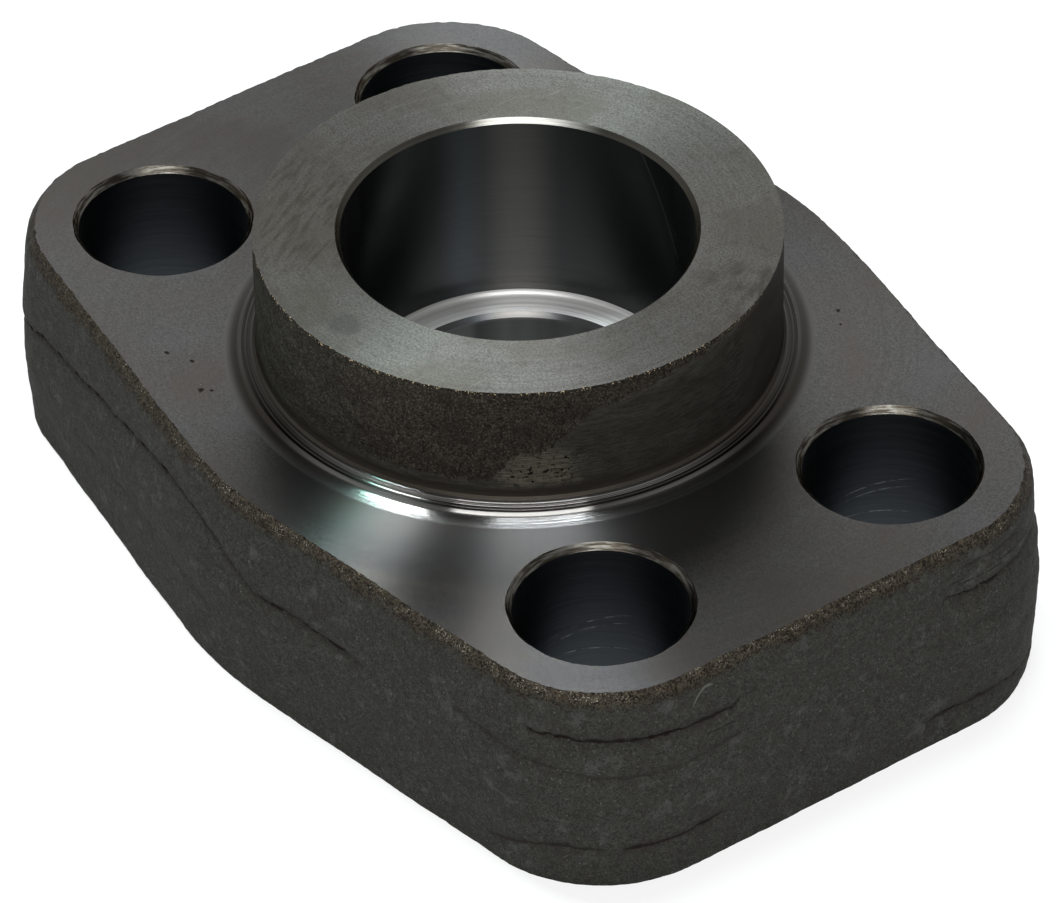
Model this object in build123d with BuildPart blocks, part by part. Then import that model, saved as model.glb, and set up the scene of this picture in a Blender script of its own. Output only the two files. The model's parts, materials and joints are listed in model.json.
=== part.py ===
from build123d import *
import os

os.makedirs("parts", exist_ok=True)

# A socket weld pipe flange for a four bolt hydraulic port, forged in steel and
# then machined. Millimetres. The origin is the middle of the sealing face,
# +X runs along the longer bolt spacing and +Z up the bore, towards the pipe.

# Bolt pattern
bolt_spacing_x = 47.6
bolt_spacing_y = 22.2
bolt_hole_diameter = 10.9
bolt_hole_chamfer = 0.4

# Machined heights, measured from the sealing face
plate_thickness = 15.0
hub_height = 9.0

# Forged outline of the plate, where the two dies met
end_margin = 9.6
side_margin = 8.2
middle_rise = 5.2
corner_radius = 9.4
side_radius = 29.0

# Forged edges of the plate
parting_height = 7.4
upper_draft = 5.0
lower_draft = 3.0
top_shoulder_radius = 1.5
bottom_shoulder_radius = 0.8
machining_allowance = 0.4

# Hub and its turned foot
hub_diameter = 33.3
foot_width = 1.15
foot_height = 0.3
foot_fillet_radius = 0.9
flare_width = 0.9
flare_height = 0.1

# Pipe socket, its ledge and the bore below it
socket_diameter = 22.3
socket_depth = 14.0
socket_chamfer = 0.4
ledge_fillet_radius = 0.5
bore_diameter = 18.0
bore_chamfer = 0.3

# Seal groove in the face that is bolted to the port
groove_diameter = 31.8
groove_width = 4.3
groove_depth = 2.6

# Worked out from the sizes above
half_length = bolt_spacing_x / 2 + end_margin
half_end = bolt_spacing_y / 2 + side_margin
half_middle = half_end + middle_rise
total_height = plate_thickness + hub_height
hub_radius = hub_diameter / 2
foot_radius = hub_radius + foot_width
flare_radius = foot_radius + flare_width
flare_top = plate_thickness + flare_height
foot_top = flare_top + foot_height
socket_floor = total_height - socket_depth


def circles(part, diameter, height=None):
    """Circular edges of one diameter, at one height or at every height."""
    found = part.edges().filter_by(
        lambda edge: edge.geom_type == GeomType.CIRCLE
        and abs(edge.radius - diameter / 2) < 1e-4
    )
    if height is None:
        return found
    return found.filter_by_position(Axis.Z, height - 1e-4, height + 1e-4)


with BuildPart() as flange_body:
    # The forging's outline: straight ends, and long sides that widen to a
    # rounded corner beside the hub
    with BuildSketch(Plane.XY.offset(parting_height)) as outline:
        with BuildLine():
            Polyline(
                (half_length, -half_end),
                (half_length, half_end),
                (0, half_middle),
                (-half_length, half_end),
                (-half_length, -half_end),
                (0, -half_middle),
                close=True,
            )
        make_face()
        fillet(outline.vertices().group_by(Axis.X)[1], side_radius)
        columns = outline.vertices().group_by(Axis.X)
        fillet(columns[0] + columns[-1], corner_radius)

    # Both dies draw away from the parting plane, so each half has draft
    extrude(
        amount=plate_thickness + machining_allowance - parting_height,
        taper=upper_draft,
    )
    extrude(
        outline.sketch,
        amount=-(parting_height + machining_allowance),
        taper=lower_draft,
    )
    levels = flange_body.edges().group_by(Axis.Z)
    fillet(levels[-1], top_shoulder_radius)
    fillet(levels[0], bottom_shoulder_radius)

    # Machining both faces flat leaves the forged shoulders part cut
    split(bisect_by=Plane.XY.offset(plate_thickness), keep=Keep.BOTTOM)
    split(bisect_by=Plane.XY, keep=Keep.TOP)

    # The hub, turned in one pass with its stepped foot and the flare outside it
    with BuildSketch(Plane.XZ) as hub_section:
        with BuildLine():
            flare = TangentArc(
                (flare_radius, plate_thickness),
                (foot_radius, flare_top),
                tangent=(-1, 0),
            )
            Line(flare @ 1, (foot_radius, foot_top))
            Line((foot_radius, foot_top), (hub_radius + foot_fillet_radius, foot_top))
            foot_fillet = TangentArc(
                (hub_radius + foot_fillet_radius, foot_top),
                (hub_radius, foot_top + foot_fillet_radius),
                tangent=(-1, 0),
            )
            Polyline(
                foot_fillet @ 1,
                (hub_radius, total_height),
                (0, total_height),
                (0, parting_height),
                (flare_radius, parting_height),
                flare @ 0,
            )
        make_face()
    revolve(axis=Axis.Z)

    # Socket for the pipe, stopped by a ledge round the smaller bore
    with Locations((0, 0, total_height)):
        CounterBoreHole(bore_diameter / 2, socket_diameter / 2, socket_depth)
    chamfer(circles(flange_body, socket_diameter, total_height), socket_chamfer)
    fillet(circles(flange_body, socket_diameter, socket_floor), ledge_fillet_radius)
    chamfer(circles(flange_body, bore_diameter), bore_chamfer)

    # Four clearance holes for the bolts
    with Locations((0, 0, plate_thickness)):
        with GridLocations(bolt_spacing_x, bolt_spacing_y, 2, 2):
            Hole(bolt_hole_diameter / 2)
    chamfer(circles(flange_body, bolt_hole_diameter), bolt_hole_chamfer)

    # Groove for the seal ring
    with BuildSketch(Plane.XY):
        Circle(groove_diameter / 2)
        Circle(groove_diameter / 2 - groove_width, mode=Mode.SUBTRACT)
    extrude(amount=groove_depth, mode=Mode.SUBTRACT)

flange_body.part.label = "flange_body"
export_step(flange_body.part, "parts/flange_body.step")
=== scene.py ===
# %% [markdown]
# # A forged pipe flange, finished in Blender
#
# The real flange is one piece of steel. A hammer die gives it its outline and its rough grey
# sides, then a lathe cuts the plate, the hub and the socket bright, and a drill makes the four
# bolt holes. The measured part is loaded first, as a frame that nothing here may move.

# %% Load the measured part
import json
import math
import random
from collections import namedtuple

import bmesh
import bpy
import numpy as np
from mathutils import Matrix, Vector, noise


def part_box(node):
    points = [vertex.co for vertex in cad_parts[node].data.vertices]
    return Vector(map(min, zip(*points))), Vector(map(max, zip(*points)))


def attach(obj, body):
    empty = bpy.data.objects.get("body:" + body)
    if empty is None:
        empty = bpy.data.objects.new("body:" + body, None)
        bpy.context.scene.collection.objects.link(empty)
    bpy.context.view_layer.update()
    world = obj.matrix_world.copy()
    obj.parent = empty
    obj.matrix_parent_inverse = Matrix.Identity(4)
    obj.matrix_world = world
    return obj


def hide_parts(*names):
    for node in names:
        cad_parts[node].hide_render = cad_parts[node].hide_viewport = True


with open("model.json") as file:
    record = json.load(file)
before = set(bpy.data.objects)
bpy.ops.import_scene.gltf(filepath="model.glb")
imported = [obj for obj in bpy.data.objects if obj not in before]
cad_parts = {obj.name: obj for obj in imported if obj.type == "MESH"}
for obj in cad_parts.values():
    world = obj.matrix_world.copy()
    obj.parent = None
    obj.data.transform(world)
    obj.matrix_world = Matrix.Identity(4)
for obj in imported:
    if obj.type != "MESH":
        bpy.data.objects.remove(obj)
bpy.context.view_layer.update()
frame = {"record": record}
flange_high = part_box("flange_body")[1]
mounts = {mount["name"]: mount["dims"] for mount in frame["record"]["mounts"]}
mm = 0.001

# %% [markdown]
# ## Sizes
#
# What fits to other parts is read from the measured part: its box, its bolt pattern and its two
# bores. The rest are the sizes of the forging and of the turned steps, in millimetres. A named
# size is easier to follow than a number inside an operator, and a change reaches every step.

# %% Sizes from the frame, then those of the forging and the turning
half_length = flange_high.x
total_height = flange_high.z
bolt_x = mounts["bolts"]["spacing_x_mm"] * mm / 2
bolt_y = mounts["bolts"]["spacing_y_mm"] * mm / 2
bolt_radius = mounts["bolts"]["hole_r_mm"] * mm
socket_radius = mounts["socket"]["r_mm"] * mm
bore_radius = mounts["port_bore"]["r_mm"] * mm

plate_top = 15.0 * mm
half_end = bolt_y + 8.2 * mm
middle_rise = 5.2 * mm
corner_radius = 9.4 * mm
side_radius = 29.0 * mm
parting_height = 7.4 * mm
upper_draft = math.radians(5.0)
lower_draft = math.radians(3.0)
top_shoulder = 1.5 * mm
bottom_shoulder = 0.8 * mm
machining_allowance = 0.4 * mm

hub_radius = 16.65 * mm
foot_radius = 17.8 * mm
flare_radius = 18.7 * mm
flare_height = 0.2 * mm
foot_height = 0.2 * mm
foot_fillet = 0.9 * mm
socket_floor = 10.0 * mm
ledge_fillet = 0.5 * mm
hole_chamfer = 0.4 * mm
socket_chamfer = 0.3 * mm
bore_chamfer = 0.3 * mm
groove_outer = 15.9 * mm
groove_inner = 11.6 * mm
groove_depth = 2.6 * mm
print("half length", round(half_length / mm, 2), "half width at the ends", round(half_end / mm, 2))

# %% [markdown]
# ## The camera
#
# The view comes before the modelling, so that each step is judged from where the object is seen.
# The camera stands half a metre away with a long lens, a little to the right of the near corner,
# and looks down at 39 degrees. A long lens keeps the circles of the hub and holes true ellipses.

# %% Place the camera
photo_width = 1062
focal_pixels = 8044.7
camera_azimuth = math.radians(54.527)
camera_elevation = math.radians(39.238)
camera_roll = math.radians(-0.813)
camera_distance = 508.4 * mm
aim_right = 0.63 * mm
aim_up = -7.08 * mm

back = Vector((
    math.sin(camera_azimuth) * math.cos(camera_elevation),
    -math.cos(camera_azimuth) * math.cos(camera_elevation),
    math.sin(camera_elevation),
))
level_right = Vector((math.cos(camera_azimuth), math.sin(camera_azimuth), 0))
level_up = back.cross(level_right)
right = math.cos(camera_roll) * level_right + math.sin(camera_roll) * level_up
up = math.cos(camera_roll) * level_up - math.sin(camera_roll) * level_right
aim = Vector((0, 0, plate_top)) + aim_right * level_right + aim_up * level_up

lens = bpy.data.cameras.new("camera")
lens.lens = focal_pixels / photo_width * lens.sensor_width
camera = bpy.data.objects.new("camera", lens)
camera.matrix_world = Matrix.Translation(aim + camera_distance * back) @ Matrix((
    (right.x, up.x, back.x),
    (right.y, up.y, back.y),
    (right.z, up.z, back.z),
)).to_4x4()
bpy.context.collection.objects.link(camera)
bpy.context.scene.camera = camera
print("the lens is", round(lens.lens, 1), "mm")

# %% [markdown]
# ## Working by hand, in code
#
# Every step below is an operator that a modeller would use with the mouse: extrude, resize,
# bevel, subdivide, fill. An operator works on what is selected, so a few small helpers open a
# piece for editing with nothing selected, pick vertices or edges by their place, and read or move
# all of a mesh's points at once, which is how the uneven forging is shaped later.

# %% Helpers for editing
tiny = 0.001 * mm


def open_for_editing(piece, mode="VERT"):
    """Open one piece in edit mode with nothing selected."""
    bpy.ops.object.select_all(action="DESELECT")
    piece.select_set(True)
    bpy.context.view_layer.objects.active = piece
    bpy.ops.object.mode_set(mode="EDIT")
    bpy.ops.mesh.select_mode(type=mode)
    bpy.ops.mesh.select_all(action="DESELECT")


def close():
    """Leave edit mode."""
    bpy.ops.object.mode_set(mode="OBJECT")


def pick(piece, kind, wanted):
    """Select the verts, edges or faces that a test accepts, and nothing else."""
    bpy.ops.mesh.select_all(action="DESELECT")
    mesh = bmesh.from_edit_mesh(piece.data)
    found = [part for part in getattr(mesh, kind) if wanted(part)]
    for part in found:
        part.select_set(True)
    bmesh.update_edit_mesh(piece.data)
    return len(found)


def points(piece, what="co"):
    """Every vertex's place, or its normal, as rows of x, y and z."""
    rows = np.empty(len(piece.data.vertices) * 3)
    piece.data.vertices.foreach_get(what, rows)
    return rows.reshape(-1, 3)


def move_points(piece, rows):
    """Put every vertex at its row's place."""
    piece.data.vertices.foreach_set("co", rows.ravel())
    piece.data.update()


def carry(piece, name, values):
    """Let every vertex carry a number, for the materials to read."""
    piece.data.attributes.new(name, "FLOAT", "POINT").data.foreach_set("value", values)


def rough(rows, size, octaves=3):
    """Fractal noise at each row, about -1 to 1, with bumps of about that size."""
    return np.array([noise.fractal(Vector(row) / size, 1.0, 2.0, octaves) for row in rows])


# %% [markdown]
# ## The outline of the forging
#
# Seen from above, the plate is a stretched hexagon: two straight ends and four long sides that
# widen towards the hub, with all six corners rounded. A six sided circle already has its points
# in the right order, so it is stretched to size, its corners are bevelled, and its straight
# stretches are divided as finely as the curved ones. Even, small steps all round give the forging
# something to be uneven with.

# %% Stretch and round a hexagon
step = 0.27 * mm
hexagon_side = math.sqrt(3) / 2

bpy.ops.object.select_all(action="DESELECT")
bpy.ops.mesh.primitive_circle_add(vertices=6, radius=1, fill_type="NGON", location=(0, 0, 0))
side_wall = bpy.context.object
side_wall.name = "side_wall"
open_for_editing(side_wall)
bpy.ops.mesh.select_all(action="SELECT")
bpy.ops.transform.resize(
    value=(half_length / hexagon_side, half_end * 2, 1), center_override=(0, 0, 0))
pick(side_wall, "verts", lambda vertex: abs(vertex.co.x) < tiny)
bpy.ops.transform.resize(
    value=(1, (half_end + middle_rise) / (half_end * 2), 1), center_override=(0, 0, 0))

# Half of the turn at each kind of corner gives how far its rounding reaches along the sides
side_slope = math.atan(middle_rise / half_length)
end_turn = math.pi / 2 - side_slope
bpy.ops.mesh.bevel(
    affect="VERTICES", offset_type="OFFSET", offset=side_radius * math.tan(side_slope),
    segments=round(side_radius * 2 * side_slope / step), profile=0.5)
pick(side_wall, "verts", lambda vertex: abs(vertex.co.x) > half_length - tiny)
bpy.ops.mesh.bevel(
    affect="VERTICES", offset_type="OFFSET", offset=corner_radius * math.tan(end_turn / 2),
    segments=round(corner_radius * end_turn / step), profile=0.5)

# Only the ring is needed, divided evenly along its six straight stretches
pick(side_wall, "faces", lambda face: True)
bpy.ops.mesh.delete(type="ONLY_FACE")
bpy.ops.mesh.select_mode(type="EDGE")
for at_the_ends in (True, False):
    lengths = []

    def straight(edge):
        """One kind of straight stretch: at the two ends, or along the four sides."""
        along_end = abs(edge.verts[0].co.x - edge.verts[1].co.x) < tiny
        if edge.calc_length() < 10 * step or along_end != at_the_ends:
            return False
        lengths.append(edge.calc_length())
        return True

    pick(side_wall, "edges", straight)
    bpy.ops.mesh.subdivide(number_cuts=round(lengths[0] / step) - 1)
close()
print("the outline has", len(side_wall.data.vertices), "points")

# %% [markdown]
# ## Rows up the side
#
# The ring is extruded straight up by the plate's thickness and the new wall is divided into rows.
# It stays straight for now: its normals all point level, straight out of the steel, and that is
# the direction in which the die, the draft and the damage move it.

# %% Extrude the outline and divide it into rows
rows_up = round(plate_top / step)
open_for_editing(side_wall)
bpy.ops.mesh.select_all(action="SELECT")
bpy.ops.mesh.extrude_edges_move(TRANSFORM_OT_translate={"value": (0, 0, plate_top)})
bpy.ops.mesh.select_mode(type="EDGE")
pick(side_wall, "edges", lambda edge: abs(edge.verts[0].co.z - edge.verts[1].co.z) > tiny)
bpy.ops.mesh.subdivide(number_cuts=rows_up - 1)
close()
print("the side wall has", len(side_wall.data.polygons), "faces")

# %% [markdown]
# ## Draft, shoulders and the distance around
#
# Two dies met at the parting line, a little above the middle of the plate. Both draw away from
# it, so the steel is widest there and leans inwards above and below. Each edge of the forging is
# rounded, and turning the faces flat has cut part of each rounding away. The laps that come next
# follow the side like a line drawn on a label, so each column of points also gets its distance
# around the plate, from the middle of the right hand end.

# %% Lean the wall and measure around it
side_points = points(side_wall)
outward = points(side_wall, "normal")
outward *= np.sign((outward * side_points).sum(axis=1))[:, None]
height = side_points[:, 2].copy()
bearing = np.arctan2(side_points[:, 1], side_points[:, 0])

columns, first = np.unique(np.round(bearing, 6), return_index=True)
ring = side_points[first, :2]
walked = np.r_[0, np.cumsum(np.linalg.norm(np.diff(ring, axis=0), axis=1))]
around = np.interp(bearing, columns, walked) - np.interp(0, columns, walked)
girth = walked[-1] + np.linalg.norm(ring[-1] - ring[0])


def die_inset(height):
    """How far inside the parting line the die left the steel at a height."""
    draft = np.where(height > parting_height, math.tan(upper_draft), math.tan(lower_draft))
    inset = abs(height - parting_height) * draft
    climb = np.clip(height - (plate_top + machining_allowance - top_shoulder), 0, None)
    dip = np.clip(bottom_shoulder - machining_allowance - height, 0, None)
    inset += top_shoulder - np.sqrt(top_shoulder**2 - climb**2)
    return inset + bottom_shoulder - np.sqrt(bottom_shoulder**2 - dip**2)


inset = die_inset(height)
print("once around the plate is", round(girth / mm, 1), "mm")

# %% [markdown]
# ## Laps
#
# Where hot steel folds over itself under the hammer, it leaves a lap: a thin dark line with the
# metal above it standing a little proud. They could be painted, but the real ones break the
# silhouette, so each is both a step in the mesh and, later, a dark line in the material. A route
# is a few points: distance around the plate and height, in millimetres. The lip is how far the
# metal above the line stands proud, and the strength is how dark the line is. The sides that can't
# be seen get laps by chance.

# %% Routes of the laps
Lap = namedtuple("Lap", "route lip strength")
laps = [
    Lap([(-84, 7.2), (-80, 8.0), (-75, 9.4), (-70.5, 9.8), (-66, 10.5), (-60, 11.3),
         (-54, 11.7), (-49.8, 10.7), (-45.9, 8.7), (-43, 8.9), (-36, 8.9)], 0.24, 0.9),
    Lap([(-22.6, 12.2), (-21.7, 11.8), (-17.6, 11.7), (-12.4, 11.6), (-7.9, 11.3),
         (-7.2, 12.1)], 0.18, 1.0),
    Lap([(-29, 10.2), (-24.2, 10.0), (-21.2, 9.5), (-17.3, 9.0), (-10.6, 9.0), (-7, 9.3)],
        0.06, 0.32),
    Lap([(-25.6, 2.0), (-24.4, 2.2), (-22, 2.8), (-19.9, 3.2), (-16.6, 3.1)], 0.08, 0.6),
    Lap([(-16.2, 3.1), (-13.5, 3.2), (-11.3, 3.2), (-8.5, 3.4)], 0.12, 0.9),
    Lap([(8.0, 11.4), (11.4, 11.2), (13.9, 11.4), (24, 11.7)], 0.36, 1.0),
    Lap([(9.5, 13.3), (12.5, 13.35), (16.5, 13.5)], 0.10, 0.45),
    Lap([(10.0, 8.5), (14.0, 8.8), (22, 8.6)], 0.10, 0.30),
    Lap([(6.8, 2.3), (10.5, 2.4), (13.1, 2.3), (19, 1.3)], 0.12, 0.8),
    Lap([(-70, 5.2), (-60, 5.9), (-50, 4.8)], 0.08, 0.20),
]
chance = random.Random(11)
hidden_start = 24.0
hidden_end = 112.0
hidden_levels = (3.2, 8.8, 11.9)
while hidden_start < hidden_end:
    hidden_length = chance.uniform(7, 17)
    level = chance.choice(hidden_levels) + chance.uniform(-0.8, 0.8)
    route = [
        (hidden_start + share * hidden_length, level + chance.uniform(-0.4, 0.4))
        for share in (0, 0.5, 1)
    ]
    laps.append(Lap(route, chance.uniform(0.06, 0.18), chance.uniform(0.3, 0.9)))
    hidden_start += hidden_length + chance.uniform(1, 7)
print(len(laps), "laps")

# %% [markdown]
# A material can't look up a route, but it can read a number that each vertex carries. So every
# vertex is told how high it lies above the nearest lap and how strong that lap is there. The
# strength is zero beyond a millimetre, so that no line appears halfway between two laps, where the
# height changes sign.

# %% Tell each vertex where it lies from the nearest lap
far_from_laps = 3.0
lap_edge = 1.0
end_fade = 0.8
wander_height = 0.14
wander_size = 2.4 * mm
wander = wander_height * rough(side_points * (1, 1, 0), wander_size)
lap_offset = np.full(len(height), far_from_laps)
lap_strength = np.zeros(len(height))
lap_lip = np.zeros(len(height))
for lap in laps:
    route_around, route_height = np.array(lap.route).T
    middle = route_around.mean()
    position = (around / mm - middle + girth / mm / 2) % (girth / mm) + middle - girth / mm / 2
    offset = height / mm - np.interp(position, route_around, route_height) - wander
    inside = np.minimum(position - route_around[0], route_around[-1] - position)
    fade = np.clip(inside / end_fade, 0, 1)
    nearer = (inside > -end_fade) & (abs(offset) < abs(lap_offset))
    lap_offset[nearer] = offset[nearer]
    lap_strength[nearer] = lap.strength * fade[nearer]
    lap_lip[nearer] = lap.lip * fade[nearer]
lap_strength[abs(lap_offset) > lap_edge] = 0
print(int((lap_strength > 0).sum()), "vertices lie within a millimetre of a lap")

# %% [markdown]
# ## Shaping the forged side
#
# Four things move the wall, all inwards, so that the plate never outgrows its measured size: long
# waves from the worn die, the step at each lap, grain left by shot blasting, and small bites
# along the edge where the cutting tool broke out of the rough skin. Fractal noise gives all but the
# laps, at the size that each has on the steel. Displacing the points themselves, and not only
# their shading, is what makes the plate's outline as uneven as a forging's.

# %% Move every point of the wall
wave_depth = 0.16 * mm
wave_size = 7.0 * mm
grain_depth = 0.035 * mm
grain_size = 0.55 * mm
edge_bite = 0.09 * mm
edge_size = 0.5 * mm
edge_reach = 0.45 * mm
lap_reach = 1.1
crease_share = 0.5
crease_width = 0.3

# Waves run along the side, so they are flatter than they are long, while bites reach down it
stretched = side_points * (1, 1, 2.2)

waves = wave_depth * np.clip(0.5 + 0.6 * rough(stretched, wave_size), 0, 1)
grain = grain_depth * rough(side_points, grain_size)
bites = edge_bite * np.clip(0.3 + rough(side_points * (1, 1, 0.2), edge_size), 0, 1)
bites *= np.exp((height - plate_top) / edge_reach)
below_lap = np.where(lap_offset < 0, np.exp(lap_offset / lap_reach), 0)
crease = crease_share * np.exp(-((lap_offset / crease_width) ** 2))
steps = mm * lap_lip * (below_lap + crease)

depth = np.clip(inset + waves + grain + bites + steps, 0, None)
move_points(side_wall, side_points - outward * depth[:, None])
carry(side_wall, "lap_offset", lap_offset)
carry(side_wall, "lap_strength", lap_strength)
print("the wall is moved in by up to", round(depth.max() / mm, 2), "mm")

# %% [markdown]
# ## The turned middle
#
# Hub, socket, bore and seal groove all turn about one axis, so they are one section spun once
# around, just as the lathe made them. The section is a chain of points, each extruded from the
# last one. It starts where the hub's flare meets the plate, climbs the hub, goes down through the
# socket and out along the face below. Rounded corners are a few points on an arc. The small steps
# and ridges at the foot of the hub are where the facing tool stopped. They are only hundredths of
# a millimetre high, but each one mirrors the light as a bright ring.

# %% Draw the section
turned_steps = 384
merge_distance = 0.002 * mm


def on_arc(centre_radius, centre_height, radius, degrees):
    """The section's point at one angle of an arc."""
    angle = math.radians(degrees)
    return (
        centre_radius + radius * math.cos(angle),
        centre_height + radius * math.sin(angle),
    )


flare_top = plate_top + flare_height
foot_top = flare_top + foot_height
fillet_top = foot_top + foot_fillet
hub_rows = round((total_height - fillet_top) / step)
flare_steps = 6
flare_curve = 1.6
rim_band = 2.0 * mm
socket_ring = 19.0 * mm
section = []
for index in range(flare_steps + 1):
    share = index / flare_steps
    section.append((
        flare_radius + (foot_radius - flare_radius) * share,
        plate_top + flare_height * share**flare_curve,
    ))

# The foot's own edge, as millimetres in from its radius and up from the flare
foot_edge = [(0.05, 0.05), (0.16, 0.16), (0.21, 0.20)]
section += [(foot_radius - in_by * mm, flare_top + up_by * mm) for in_by, up_by in foot_edge]

# The fillet, with the ridges of the tool: degrees on its arc, and millimetres proud of it
foot_ridges = [
    (270, 0.00), (264, 0.00), (259, -0.02), (255, 0.01), (249, 0.01), (246, -0.02), (243, 0.00),
    (240, -0.02), (237, 0.00), (234, -0.02), (231, 0.00), (228, 0.00), (223, -0.03), (218, 0.03),
    (204, -0.02), (196, 0.00), (188, 0.00), (180, 0.00),
]
section += [
    on_arc(hub_radius + foot_fillet, fillet_top, foot_fillet - proud * mm, degrees)
    for degrees, proud in foot_ridges
]

# Up the hub, across its top, down the socket and the bore, and out across the face below
for index in range(1, hub_rows + 1):
    section.append((hub_radius, fillet_top + (total_height - fillet_top) * index / hub_rows))
section += [
    (hub_radius - rim_band, total_height),
    (socket_radius + socket_chamfer, total_height),
    (socket_radius, total_height - socket_chamfer),
    (socket_radius, socket_ring),
]
section += [
    on_arc(socket_radius - ledge_fillet, socket_floor + ledge_fillet, ledge_fillet, degrees)
    for degrees in range(0, -91, -15)
]
section += [
    (bore_radius + bore_chamfer, socket_floor),
    (bore_radius, socket_floor - bore_chamfer),
    (bore_radius, bore_chamfer),
    (bore_radius + bore_chamfer, 0),
    (groove_inner, 0),
    (groove_inner, groove_depth),
    (groove_outer, groove_depth),
    (groove_outer, 0),
]
print("the section has", len(section), "points")

# %% Extrude the section point by point and spin it
bpy.ops.object.select_all(action="DESELECT")
bpy.ops.mesh.primitive_plane_add(size=mm, location=(0, 0, 0))
turned_body = bpy.context.object
turned_body.name = "turned_body"
open_for_editing(turned_body)
bpy.ops.mesh.select_all(action="SELECT")
bpy.ops.mesh.merge(type="CENTER")
bpy.ops.transform.translate(value=(section[0][0], 0, section[0][1]))
for before, after in zip(section, section[1:]):
    bpy.ops.mesh.extrude_vertices_move(TRANSFORM_OT_translate={
        "value": (after[0] - before[0], 0, after[1] - before[1])})
bpy.ops.mesh.select_all(action="SELECT")
bpy.ops.mesh.spin(
    steps=turned_steps, angle=2 * math.pi, center=(0, 0, 0), axis=(0, 0, 1))
bpy.ops.mesh.select_all(action="SELECT")
bpy.ops.mesh.remove_doubles(threshold=merge_distance)
close()
print("the turned body has", len(turned_body.data.polygons), "faces")

# %% [markdown]
# ## The skin on the hub
#
# The hub was forged a little oversize and only cleaned up where the tool reached steel: its left
# side keeps the dark forged skin, its right side is bare, and the border between them climbs from
# the foot to the rim. The border is a list of bearings and heights. Each vertex is told how far it
# lies above it, so inside the skin. There the wall sinks by a few hundredths of a millimetre with
# the same grain as the plate's sides, and the rim is ragged.

# %% Sink the forged skin of the hub
border_bearing = [
    -180, -44, -41.5, -39, -36, -30, -26.5, -22.4, -18.4, -4.4, 20, 36, 105, 130, 150, 165, 180]
border_height = [
    14, 16, 17.4, 18.4, 19.2, 19.5, 20.1, 21.5, 22.2, 23.0, 23.75, 24.3, 24.3, 22, 18, 14, 14]
turned_edge = 16.95
skin_depth = 0.07 * mm
skin_grain = 0.6 * mm
rim_bite = 0.05 * mm
rim_grain = 0.7 * mm
rim_reach = 0.5 * mm
border_softness = 0.5

hub_points = points(turned_body)
hub_distance = np.hypot(hub_points[:, 0], hub_points[:, 1])
hub_bearing = np.degrees(np.arctan2(hub_points[:, 1], hub_points[:, 0]))
border = np.interp(hub_bearing, border_bearing, border_height)
skin = hub_points[:, 2] / mm - np.maximum(border, turned_edge)
on_wall = (abs(hub_distance - hub_radius) < tiny) & (hub_points[:, 2] > fillet_top - tiny)

sunk = skin_depth * (0.6 + 0.8 * rough(hub_points, skin_grain))
sunk += rim_bite * np.exp((hub_points[:, 2] - total_height) / rim_reach) * np.clip(
    0.3 + rough(hub_points, rim_grain), 0, 1)
sunk *= np.clip(skin / border_softness + 0.5, 0, 1) * on_wall
hub_points[:, :2] *= (1 - sunk / np.maximum(hub_distance, mm))[:, None]
move_points(turned_body, hub_points)
carry(turned_body, "skin", skin)
print("the skin sinks by up to", round(sunk.max() / mm, 2), "mm")

# %% [markdown]
# ## The bolt holes
#
# A drilled hole is a straight tube with a small bevel at each mouth, cut by hand and so a little
# uneven. One is made from a circle, extruded down ring by ring, and then copied to the four
# corners, each copy with its own mesh and its own unevenness. Four holes cut with a boolean would
# leave the plate's top in ragged faces, so they are built into the body instead.

# %% Make one hole and copy it
hole_sides = 96
hole_rings = [
    (bolt_radius, plate_top - hole_chamfer),
    (bolt_radius, plate_top / 2),
    (bolt_radius, hole_chamfer),
    (bolt_radius + hole_chamfer, 0),
]
bpy.ops.object.select_all(action="DESELECT")
bpy.ops.mesh.primitive_circle_add(
    vertices=hole_sides, radius=bolt_radius + hole_chamfer, location=(0, 0, 0))
hole = bpy.context.object
hole.name = "bolt_hole"
open_for_editing(hole)
bpy.ops.mesh.select_all(action="SELECT")
bpy.ops.transform.translate(value=(0, 0, plate_top))
ring_radius, ring_height = bolt_radius + hole_chamfer, plate_top
for next_radius, next_height in hole_rings:
    bpy.ops.mesh.extrude_edges_move(
        TRANSFORM_OT_translate={"value": (0, 0, next_height - ring_height)})
    growth = next_radius / ring_radius
    bpy.ops.transform.resize(value=(growth, growth, 1), center_override=(0, 0, 0))
    ring_radius, ring_height = next_radius, next_height
close()

mouth_unevenness = 0.05 * mm
mouth_ripple = 1.5 * mm
holes = []
for x in (-bolt_x, bolt_x):
    for y in (-bolt_y, bolt_y):
        copy = bpy.data.objects.new("bolt_hole_copy", hole.data.copy())
        bpy.context.collection.objects.link(copy)
        copy.data.transform(Matrix.Translation((x, y, 0)))
        rows = points(copy)
        from_axis = rows[:, :2] - (x, y)
        mouth = np.linalg.norm(from_axis, axis=1) > bolt_radius + tiny
        uneven = mouth_unevenness * rough(rows, mouth_ripple) * mouth
        rows[:, :2] += from_axis / bolt_radius * uneven[:, None]
        move_points(copy, rows)
        holes.append(copy)
bpy.data.objects.remove(hole)
print(len(holes), "bolt holes")

# %% [markdown]
# ## A material for each kind of surface
#
# A forged side, a faced top and a drilled hole look quite different, although they are one piece of
# steel. Each gets its own material before the surfaces are joined, because a face keeps its
# material through the joining. The turned body is one mesh, so its faces are told apart by where
# they lie: how far from the axis, how high, and which way they look.

# %% Give each surface its material
finishes = {
    name: bpy.data.materials.new(name)
    for name in (
        "turned_steel", "hub_top", "foot_steel", "ledge_steel", "forged_skin", "hub_side",
        "bored_steel", "drilled_steel", "burred_edge")
}


def finish_all(piece, name):
    """Give all of one piece one finish."""
    piece.data.materials.clear()
    piece.data.materials.append(finishes[name])


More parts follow.
